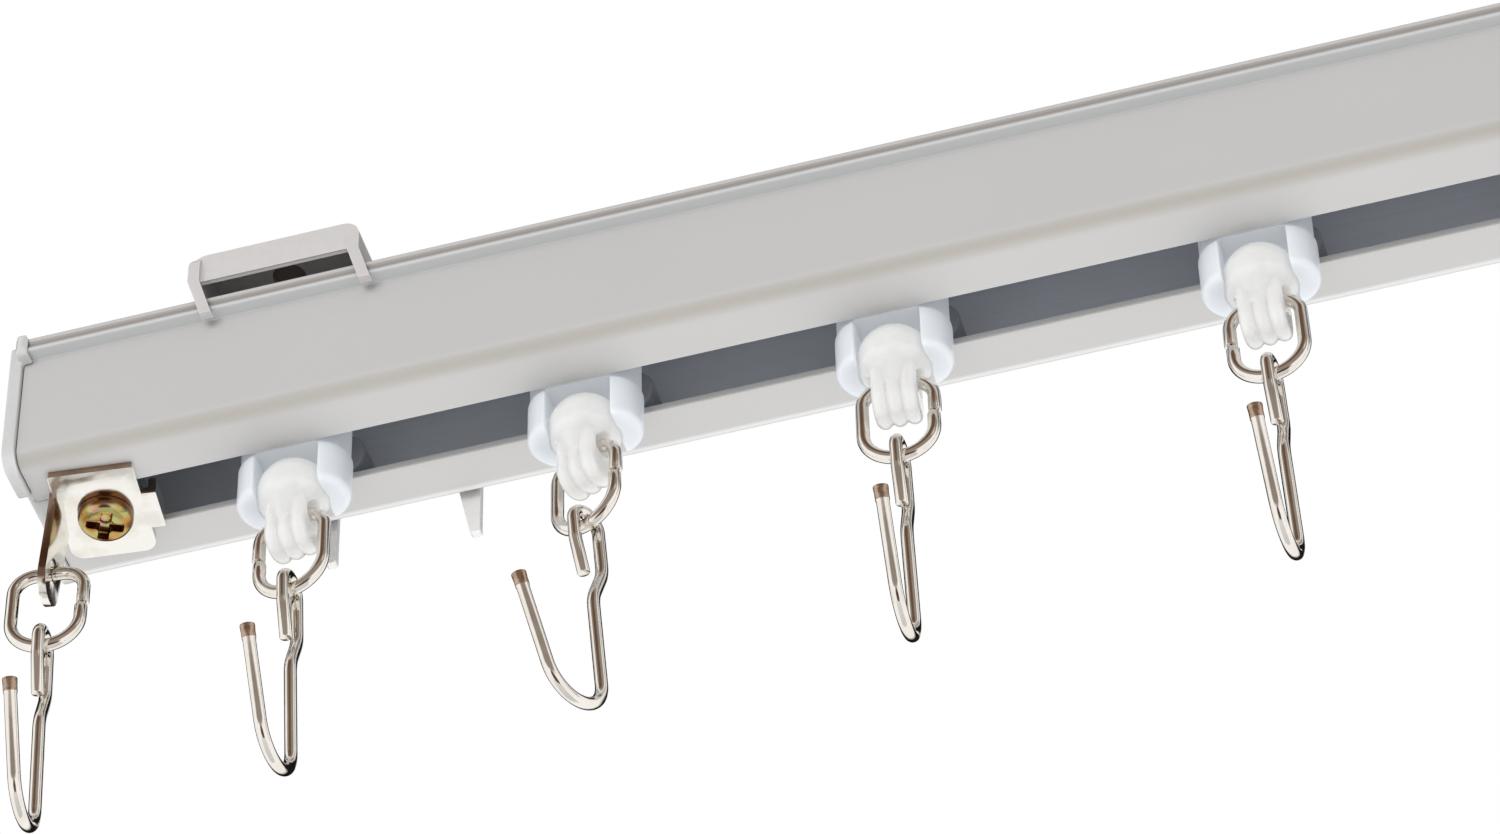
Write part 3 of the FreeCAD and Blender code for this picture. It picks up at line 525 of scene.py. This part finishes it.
# melts a solid into the soft rounded skin of a moulding
def moulded(bm, voxel, rounds):
    remesh = {"mode": "VOXEL", "voxel_size": voxel}
    smooth = {"factor": meshing["smoothing"], "iterations": rounds}
    return afterModifiers(bm, [("REMESH", remesh), ("SMOOTH", smooth)])


# adds a finished mesh as one piece that rides on a body and stands for a CAD node
def addPiece(name, bm, materials, body, node, sharpAngle=meshing["sharpAngle"]):
    mesh = bpy.data.meshes.new(name)
    bm.to_mesh(mesh)
    bm.free()
    for material in materials:
        mesh.materials.append(material)
    mesh.shade_smooth()
    mesh.set_sharp_from_angle(angle=math.radians(sharpAngle))
    piece = bpy.data.objects.new(name, mesh)
    scene.collection.objects.link(piece)
    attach(piece, body)
    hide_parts(node)


print("rail")
# half of the section, front side, from the slot up and round: across, up, corner radius
rail = {
    "outside": (
        (-4.4, 0.0, 0.2), (-13.0, 0.0, 2.4), (-13.0, 20.5, 0.2), (-15.25, 20.5, 0.35), (-15.25, 21.15, 0.2),
        (-14.85, 21.5, 0.25), (-14.85, 21.95, 0.25), (-15.25, 22.3, 0.2), (-15.25, 23.0, 0.3),
        (-8.5, 23.0, 0.2), (-8.5, 22.5, 0.2),
    ),
    "inside": ((-4.4, 1.25, 0.15), (-11.75, 1.25, 0.6), (-11.75, 21.5, 0.6)),
    "cornerSegments": 6,
    "channel": (11.8, 1.2, 21.55),      # faces nearer the middle than this, between these heights, are inside
}
bm = bmesh.new()
half = list(rail["outside"])
outline = half + [(-y, z, r) for y, z, r in reversed(half)]
outline += [(-y, z, r) for y, z, r in rail["inside"]] + list(reversed(rail["inside"]))
corners = [bm.verts.new((-layout["railLength"] / 2, y, z)) for y, z, r in outline]
bm.faces.new(corners)
for corner, (y, z, r) in zip(corners, outline):
    bmesh.ops.bevel(bm, geom=[corner], offset=r, offset_type="OFFSET", affect="VERTICES",
                    segments=rail["cornerSegments"], profile=0.5, material=-1)
drawn = bmesh.ops.extrude_face_region(bm, geom=bm.faces[:])
farEnd = [v for v in drawn["geom"] if isinstance(v, bmesh.types.BMVert)]
bmesh.ops.translate(bm, vec=(layout["railLength"], 0, 0), verts=farEnd)
bmesh.ops.recalc_face_normals(bm, faces=bm.faces)
reach, low, high = rail["channel"]
for face in bm.faces:
    middle = face.calc_center_median()
    isEnd = abs(face.normal.x) > 0.5
    if not isEnd and abs(middle.y) < reach and low < middle.z < high:
        face.material_index = 1
addPiece("coatedRail", setDown(bm), [powderCoat, insideCoatPaintedLight], "track", "rail")
bm.free()

print("end caps")
# the cap's tongue closes the slot at the rail's end: along, across and up, lowest and highest corner
cap = {
    "voxel": 0.2, "rounds": 9, "tongue": ((-150.6, -4.1, 0.25), (-147.9, 4.1, 2.2)),
    "lowCorner": (-10.3, 2.7, 3.5),     # centre and radius of the plate's round lower corner: across, up
    "nub": (-149.6, 0.95, 13.9),        # flange nub's middle and half length, and where it starts across
    "nubTop": 23.8, "nubFront": 16.05,  # its highest and foremost reach
    "nubDome": 1.3,                     # its fall from there to its ends, half as much in front
}
bm = cadShape("end_cap_left")
low, high = (Vector(corner) for corner in cap["tongue"])
size = high - low
bmesh.ops.create_cube(bm, size=1, matrix=Matrix.Translation((low + high) / 2) @ Matrix.Diagonal((*size, 1)))
endCap = moulded(bm, cap["voxel"], cap["rounds"])
across, up, radius = cap["lowCorner"]
for v in endCap.verts:
    past = Vector((max(abs(v.co.y) + across, 0), max(up - v.co.z, 0)))
    if past.x > 0 and past.y > 0 and past.length > radius:
        past = past.normalized() * radius
        v.co.y = math.copysign(past.x - across, v.co.y)
        v.co.z = up - past.y
middle, halfNub, nubStart = cap["nub"]
for v in endCap.verts:
    if abs(v.co.y) > nubStart:
        fall = cap["nubDome"] * min(abs(v.co.x - middle) / halfNub, 1) ** 2
        v.co.z = min(v.co.z, cap["nubTop"] - fall)
        v.co.y = math.copysign(min(abs(v.co.y), cap["nubFront"] - fall / 2), v.co.y)
for side, sign, turn in sides:
    addPiece("cap_" + side, setDown(endCap, turn=turn), [capPlastic], "track", "end_cap_" + side,
             meshing["softAngle"])
endCap.free()

print("brackets")
bracket = {
    "half": 12.9, "top": 31.2,
    "crown": 2.6, "crownSteps": 8,      # both ends of the top roll over in this radius
    "skirtFront": -16.2,                # right side plate lies flush with the skirt
    "skirtInner": (-14.6, -15.5),       # solid skirt's inner face, and the sheet's
    "skirtLow": (25.1, 25.6),           # solid skirt's lower edge, and the sheet's
    "webUnder": (29.0, 30.2),           # solid top plate's under face, and the sheet's
    "webStep": (-5.5, 0.1),             # where the thin sheet ends across, and the slope there
    "jawTop": 20.4, "jawReach": (-16.1, -14.7),     # below this height a jaw stays between these two across
    "jawRear": -14.1, "jawSlant": (25.5, 0.28),     # in front of and below these it slants along the rail
    "near": 0.02, "nearSkirtLow": 0.25,             # how close a point lies to the face that it belongs to
    "cut": 0.0001, "weld": 0.005, "clipEdge": 0.35, "latchEdge": 0.5,
}


# a cut across the whole mesh, so that one side of it can be moved
def cutAcross(bm, at, facing):
    bmesh.ops.bisect_plane(bm, geom=bm.verts[:] + bm.edges[:] + bm.faces[:], dist=bracket["cut"],
                           plane_co=at, plane_no=facing)


# the clip with rolled top ends, its right plate flush and its jaws short
def bracketShape():
    bm = cadShape("bracket_clip_left", (-layout["bracketX"], 0, 0))
    webEnd, webSlope = bracket["webStep"]
    slantTop, slant = bracket["jawSlant"]
    cutAcross(bm, (0, webEnd, 0), (0, 1, 0))
    cutAcross(bm, (0, webEnd + webSlope, 0), (0, 1, 0))
    cutAcross(bm, (0, 0, slantTop), (0, 0, 1))
    near = bracket["near"]
    solidInner, sheetInner = bracket["skirtInner"]
    solidUnder, sheetUnder = bracket["webUnder"]
    solidLow, sheetLow = bracket["skirtLow"]
    jawFront, jawTip = bracket["jawReach"]
    for v in bm.verts:
        if abs(v.co.y - solidInner) < near and v.co.z < solidUnder + near:
            v.co.y = sheetInner
        if abs(v.co.z - solidUnder) < near and v.co.y < webEnd + near / 2:
            v.co.z = sheetUnder
        if abs(v.co.z - solidLow) < bracket["nearSkirtLow"] and abs(v.co.x) < bracket["half"] - near / 2:
            v.co.z += sheetLow - solidLow
        if v.co.x > 0:
            v.co.y = max(v.co.y, bracket["skirtFront"])
        if v.co.z < bracket["jawTop"] and v.co.y < 0:
            v.co.y = min(max(v.co.y, jawFront), jawTip)
        if v.co.z < slantTop and v.co.y < bracket["jawRear"]:
            v.co.x += (slantTop - v.co.z) * slant
    r = bracket["crown"]
    start = bracket["half"] - r
    for step in range(bracket["crownSteps"]):
        x = start + r * math.sin(math.pi / 2 * step / bracket["crownSteps"])
        for side in (-1, 1):
            cutAcross(bm, (side * x, 0, 0), (1, 0, 0))
    for v in bm.verts:
        past = min(max(abs(v.co.x) - start, 0), r)
        v.co.z = min(v.co.z, bracket["top"] - r + math.sqrt(r * r - past * past))
    bmesh.ops.remove_doubles(bm, verts=bm.verts, dist=bracket["weld"])
    bmesh.ops.dissolve_degenerate(bm, dist=bracket["weld"], edges=bm.edges)
    return bm


clip = softEdges(bracketShape(), bracket["clipEdge"])
latch = softEdges(cadShape("bracket_latch_left", (-layout["bracketX"], 0, 0)), bracket["latchEdge"])
for side, sign, turn in sides:
    at = (sign * layout["bracketX"], 0, 0)
    addPiece("clip_" + side, setDown(clip, at), [enamel], "track", "bracket_clip_" + side)
    addPiece("latch_" + side, setDown(latch, at), [latchEnamelPaintedLight], "track", "bracket_latch_" + side)
clip.free()
latch.free()

print("end stops")
stop = {
    "plateEdge": 0.18, "screwVoxel": 0.09, "screwRounds": 9,
    "headTop": -1.2, "headSpread": 1.05,    # below this height is the screw's head, spread this much
}
stopAt = (-layout["stopX"], 0, 0)
plate = softEdges(cadShape("stop_plate_left", stopAt, layout["stopSkew"]), stop["plateEdge"])
screw = moulded(cadShape("stop_screw_left", stopAt, layout["stopSkew"]), stop["screwVoxel"],
                stop["screwRounds"])
for v in screw.verts:
    if v.co.z < stop["headTop"]:
        v.co.x *= stop["headSpread"]
        v.co.y *= stop["headSpread"]
for side, sign, turn in sides:
    at = (sign * layout["stopX"], 0, 0)
    skew = layout["stopSkew"] + turn
    addPiece("stopPlate_" + side, setDown(plate, at, skew), [nickelPlate], "track", "stop_plate_" + side)
    addPiece("stopScrew_" + side, setDown(screw, at, skew), [yellowZinc], "track", "stop_screw_" + side,
             meshing["softAngle"])
plate.free()
screw.free()


# wire grown from a circle along runs and turns in the X-Z plane; a swell scales the circle
def growWire(wire):
    bm = bmesh.new()
    at = Vector((wire["start"][0], 0, wire["start"][1]))
    angle = math.radians(wire["heading"])
    facing = Vector((math.cos(angle), 0, math.sin(angle))).to_track_quat("Z", "Y").to_matrix().to_4x4()
    bmesh.ops.create_circle(bm, cap_ends=True, segments=wire["sides"], radius=wire["thickness"] / 2,
                            matrix=Matrix.Translation(at) @ facing)
    rim = bm.edges[:]
    for kind, *amount in wire["moves"]:
        ahead = Vector((math.cos(angle), 0, math.sin(angle)))
        if kind == "run":
            made = bmesh.ops.extrude_edge_only(bm, edges=rim)["geom"]
            fresh = [v for v in made if isinstance(v, bmesh.types.BMVert)]
            rim = [e for e in made if isinstance(e, bmesh.types.BMEdge) and all(v in fresh for v in e.verts)]
            bmesh.ops.translate(bm, vec=ahead * amount[0], verts=fresh)
            at += ahead * amount[0]
        elif kind == "turn":
            degrees, radius = amount
            way = 1 if degrees > 0 else -1
            centre = at + Vector((-ahead.z, 0, ahead.x)) * radius * way
            steps = max(3, round(abs(degrees) / wire["degreesPerStep"]))
            verts = list({v for e in rim for v in e.verts})
            swept = bmesh.ops.spin(bm, geom=verts + rim, cent=centre, axis=(0, -way, 0),
                                   angle=math.radians(abs(degrees)), steps=steps, use_duplicate=False)
            rim = [e for e in swept["geom_last"] if isinstance(e, bmesh.types.BMEdge)]
            at = centre + Matrix.Rotation(math.radians(abs(degrees)), 3, (0, -way, 0)) @ (at - centre)
            angle += math.radians(degrees)
        else:
            verts = list({v for e in rim for v in e.verts})
            bmesh.ops.scale(bm, vec=(amount[0],) * 3, space=Matrix.Translation(-at), verts=verts)
    bmesh.ops.edgeloop_fill(bm, edges=rim)
    ends = [f for f in bm.faces if len(f.verts) == wire["sides"]]
    endEdges = list({e for f in ends for e in f.edges})
    bmesh.ops.recalc_face_normals(bm, faces=bm.faces)
    bmesh.ops.bevel(bm, geom=endEdges, offset=wire["endRound"], offset_type="OFFSET", affect="EDGES",
                    segments=2, profile=0.5, material=-1)
    for face in bm.faces:
        if (face.calc_center_median() - at).length < wire["wornEnd"]:
            face.material_index = 1
    return bm


print("rings and hooks")
# the ring's cut ends stand a little apart and out of line
ringWire = {
    "thickness": 1.9, "sides": 24, "degreesPerStep": 6, "endRound": 0.25, "wornEnd": 0.0,
    "start": (5.25, -6.55), "heading": 90.0,
    "moves": (("run", 3.25), ("turn", 90, 3.3), ("run", 3.7), ("turn", 90, 3.3), ("run", 5.75),
              ("turn", 180, 5.05), ("run", 2.1)),
}
# the hook's long leg bends out and back, and its cropped tip flares
hookWire = {
    "thickness": 1.85, "sides": 24, "degreesPerStep": 6, "endRound": 0.15, "wornEnd": 2.1,
    "start": (1.4, -9.375), "heading": 79.57,
    "moves": (("run", 5.579), ("turn", 10.43, 5.43), ("run", 2.904), ("turn", 180, 2.5), ("run", 5.984),
              ("turn", 24.44, 7.0), ("run", 3.011), ("turn", -24.44, 7.0), ("run", 14.034),
              ("turn", 162, 5.5), ("run", 11.6), ("run", 0.3), ("swell", 1.1), ("run", 1.0),
              ("run", 0.7), ("swell", 1.06), ("run", 0.358)),
}
ring = growWire(ringWire)
hook = growWire(hookWire)


# a ring at its top wire and the hook in it, each on its own body
def hangPair(name, ringAt, ringTurn, hookTurn):
    low = Vector(ringAt) - Vector((0, 0, layout["ringRise"] + layout["hookSag"]))
    ringName, hookName = name.format("ring"), name.format("hook")
    addPiece(ringName + "_wire", setDown(ring, ringAt, ringTurn), [nickelWire], ringName, ringName)
    addPiece(hookName + "_wire", setDown(hook, low, hookTurn + 180, layout["hookLean"]),
             [nickelWire, wornTip], hookName, hookName)


for i, (side, sign, turn) in enumerate(sides):
    skew = layout["stopSkew"]
    out, across = layout["stopEye"]
    eye = Matrix.Rotation(math.radians(skew + turn), 3, "Z") @ Vector((-out, -across, 0))
    at = (sign * layout["stopX"] + eye.x, eye.y, layout["stopRingTop"])
    hangPair("stop_{}_" + side, at, skew, layout["stopHookTurn"][i])

print("carriers")
carrier = {
    "bodyVoxel": 0.17, "bodyRounds": 5, "swivelVoxel": 0.15, "swivelRounds": 16,
    "ballDrop": 5.7, "ballRadius": 5.4,     # the ball fills its socket
    "ballSkin": 4.6, "ballLow": -2.6,       # only what lies this far out and above this height is the ball
}
firstX, firstTurn = layout["carrierX"][0], layout["swivelTurn"][0]
body = moulded(cadShape("carrier_1_body", (firstX, 0, 0)), carrier["bodyVoxel"], carrier["bodyRounds"])
swivel = moulded(cadShape("carrier_1_swivel", (firstX, 0, 0), firstTurn), carrier["swivelVoxel"],
                 carrier["swivelRounds"])
for v in swivel.verts:
    out = v.co + Vector((0, 0, carrier["ballDrop"]))
    share = min(max(out.z - carrier["ballLow"], 0), 1)
    if out.length > carrier["ballSkin"]:
        v.co += out.normalized() * (carrier["ballRadius"] - out.length) * share
for i, x in enumerate(layout["carrierX"]):
    name = "carrier_" + str(i + 1)
    turn = layout["swivelTurn"][i]
    addPiece(name + "_shell", setDown(body, (x, 0, 0)), [carrierNylon], name, name + "_body",
             meshing["softAngle"])
    addPiece(name + "_eye", setDown(swivel, (x, 0, 0), turn), [milkyNylon], name + "_swivel",
             name + "_swivel", meshing["softAngle"])
    hangPair(name + "_{}", (x, 0, layout["ringTop"]), turn + layout["seamTurn"][i],
             turn + layout["hookTurn"][i])
for done in (body, swivel, ring, hook):
    done.free()

print("finishes of the CAD's own wheels, nuts and rivets")
for name, node in nodes.items():
    finish = greyAcetal if "wheels" in name else dullZinc if "nut" in name or "rivet" in name else None
    if finish:
        node.data.materials.clear()
        node.data.materials.append(finish)

print("studio")
# the stage is in metres, and mottles, holes and patches are in millimetres
studio = {
    "cameraAt": (0.10147, -0.55712, -0.64606),
    "cameraRight": (0.96126, 0.27488, -0.02073),
    "cameraUp": (0.21284, -0.69231, 0.68950),
    "lens": 143.24, "sensor": 36, "farthest": 50,
    "floorDrop": 2.4, "floorHalf": 1.6, "floorTones": ("#f4f4f4", "#f8f8f8"), "floorMottle": 333.333,
    "worldFill": 0.72,               # strength for everything but what the camera and mirrors see
    "mirrorWhite": 1.12,
    "lamps": (                       # where, which way its back points, size in metres, watts
        ((-0.6, -2.7, -0.1), (-0.6, -2.7, -0.1), 1.6, 36),
        ((0.3, 0.6, -2.3), (0, 0, -1), 1.8, 33.5),
    ),
    "waver": 0.22, "waverScale": 2.4,           # how far and how often the edges of the room's parts wander
    "roomParts": (                   # direction, inner and outer reach in degrees, colour
        ((0.12, -0.90, 0.42), 42, 52, "#9c9188"),
        ((-0.03, -0.69, 0.72), 16, 21, "#6f5846"),
        ((0.55, -0.72, 0.42), 3, 8, "#ffffff"),
        ((-0.42, -0.85, 0.30), 2, 7, "#ffffff"),
        ((0.17, -0.72, -0.67), 17, 25, "#5f4a3c"),
        ((-0.17, 0.67, 0.72), 44, 58, "#1f1712"),
        ((0.03, 0.69, 0.72), 6, 10, "#ffffff"),
    ),
    "glints": (                      # small bright lamps that only mirrors see: direction and both reaches
        ((-0.05, -0.99, -0.10), 2, 4),
        ((-0.85, -0.50, -0.10), 2, 5),
    ),
    "glintWhite": 6.0,
    # tones of the painted shade seen through the screw holes
    "holeShadeTones": ("#7c6c67", "#8c7d77"), "ceilingMottle": 1.5,
    "holeAcross": 9.5,               # ceiling screws' holes, front and rear of the bracket's middle
    "patchRadius": 3.0, "patchRise": 0.1,
}


# a flat round or square sheet that isn't part of the object
def addSheet(name, bm, material):
    mesh = bpy.data.meshes.new(name)
    bm.to_mesh(mesh)
    bm.free()
    mesh.materials.append(material)
    sheet = bpy.data.objects.new(name, mesh)
    scene.collection.objects.link(sheet)


# painted boards, matt and almost even: the floor, and dark discs of painted shade behind the brackets' screw
# holes
boards = {}
for name, tones, mottleSize in (("paleMattFloor", "floorTones", "floorMottle"),
                                ("shadedCeiling", "holeShadeTones", "ceilingMottle")):
    boards[name], tree, shader, place = newMaterial(name, {"Roughness": 0.9})
    mottle = addNode(tree, "ShaderNodeTexNoise", {"Scale": perMm(studio[mottleSize]), "Detail": 2.0},
                     {"Vector": (place, "Object")})
    dark, pale = studio[tones]
    base = addNode(tree, "ShaderNodeMix", {"data_type": "RGBA", 6: colour(dark), 7: colour(pale)},
                   {0: (mottle, "Fac")})
    tree.links.new(base.outputs[2], shader.inputs["Base Color"])
bm = bmesh.new()
bmesh.ops.create_grid(bm, x_segments=8, y_segments=8, size=studio["floorHalf"],
                      matrix=Matrix.Translation((0, 0, -studio["floorDrop"])))
addSheet("floor", bm, boards["paleMattFloor"])
# dark discs just above the screw holes paint the shade seen through them
bm = bmesh.new()
for x in (-layout["bracketX"], layout["bracketX"]):
    for y in (-studio["holeAcross"], studio["holeAcross"]):
        at = Vector((x, y, studio["patchRise"])) * mm
        bmesh.ops.create_circle(bm, cap_ends=True, segments=32, radius=studio["patchRadius"] * mm,
                                matrix=Matrix.Translation(at))
addSheet("paintedShadeInScrewHoles", bm, boards["shadedCeiling"])

cameraData = bpy.data.cameras.new("camera")
cameraData.lens = studio["lens"]
cameraData.sensor_width = studio["sensor"]
cameraData.clip_end = studio["farthest"]
camera = bpy.data.objects.new("camera", cameraData)
scene.collection.objects.link(camera)
right, up = Vector(studio["cameraRight"]), Vector(studio["cameraUp"])
facing = Matrix((right, up, right.cross(up))).transposed()
camera.matrix_world = Matrix.Translation(studio["cameraAt"]) @ facing.to_4x4()
scene.camera = camera

for i, (at, back, size, watts) in enumerate(studio["lamps"]):
    lamp = bpy.data.lights.new("softbox" + str(i + 1), "AREA")
    lamp.size = size
    lamp.energy = watts
    box = bpy.data.objects.new(lamp.name, lamp)
    box.matrix_world = Matrix.Translation(at) @ Vector(back).to_track_quat("Z", "Y").to_matrix().to_4x4()
    box.visible_camera = False
    box.visible_glossy = False
    scene.collection.objects.link(box)

# white to the camera; mirrors see a bright room with brown and taupe parts whose edges wander
world = bpy.data.worlds.new("studio")
scene.world = world
world.use_nodes = True
tree = world.node_tree
tree.nodes.clear()
rays = addNode(tree, "ShaderNodeLightPath")
toward = addNode(tree, "ShaderNodeTexCoord")
drift = addNode(tree, "ShaderNodeTexNoise", {"Scale": studio["waverScale"], "Detail": 2.0},
                {"Vector": (toward, "Generated")})
centred = addNode(tree, "ShaderNodeVectorMath", {"operation": "SUBTRACT", 1: (0.5, 0.5, 0.5)},
                  {0: (drift, "Color")})
wander = addNode(tree, "ShaderNodeVectorMath", {"operation": "SCALE", "Scale": studio["waver"]},
                 {0: (centred, 0)})
moved = addNode(tree, "ShaderNodeVectorMath", {"operation": "ADD"},
                {0: (toward, "Generated"), 1: (wander, 0)})
ahead = addNode(tree, "ShaderNodeVectorMath", {"operation": "NORMALIZE"}, {0: (moved, 0)})
white = (studio["mirrorWhite"],) * 3 + (1,)
room = addNode(tree, "ShaderNodeMix", {"data_type": "RGBA", 0: 0.0, 6: white})     # plain white to start from
parts = [(*part[:3], colour(part[3])) for part in studio["roomParts"]]
parts += [(*glint, (studio["glintWhite"],) * 3 + (1,)) for glint in studio["glints"]]
for direction, inner, outer, shade in parts:
    toPart = addNode(tree, "ShaderNodeVectorMath", {"operation": "DOT_PRODUCT", 1: direction},
                     {0: (ahead, 0)})
    part = addNode(tree, "ShaderNodeMapRange", {
        "From Min": math.cos(math.radians(outer)), "From Max": math.cos(math.radians(inner)),
    }, {"Value": (toPart, "Value")})
    room = addNode(tree, "ShaderNodeMix", {"data_type": "RGBA", 7: shade}, {0: (part, 0), 6: (room, 2)})
mirrored = addNode(tree, "ShaderNodeBackground", {"Strength": 1.0}, {"Color": (room, 2)})
lit = addNode(tree, "ShaderNodeBackground", {"Color": (1, 1, 1, 1), "Strength": studio["worldFill"]})
seen = addNode(tree, "ShaderNodeBackground", {"Color": (1, 1, 1, 1), "Strength": 1.0})
glossMix = addNode(tree, "ShaderNodeMixShader",
                   links={0: (rays, "Is Glossy Ray"), 1: (lit, 0), 2: (mirrored, 0)})
seenMix = addNode(tree, "ShaderNodeMixShader",
                  links={0: (rays, "Is Camera Ray"), 1: (glossMix, 0), 2: (seen, 0)})
addNode(tree, "ShaderNodeOutputWorld", links={"Surface": (seenMix, 0)})
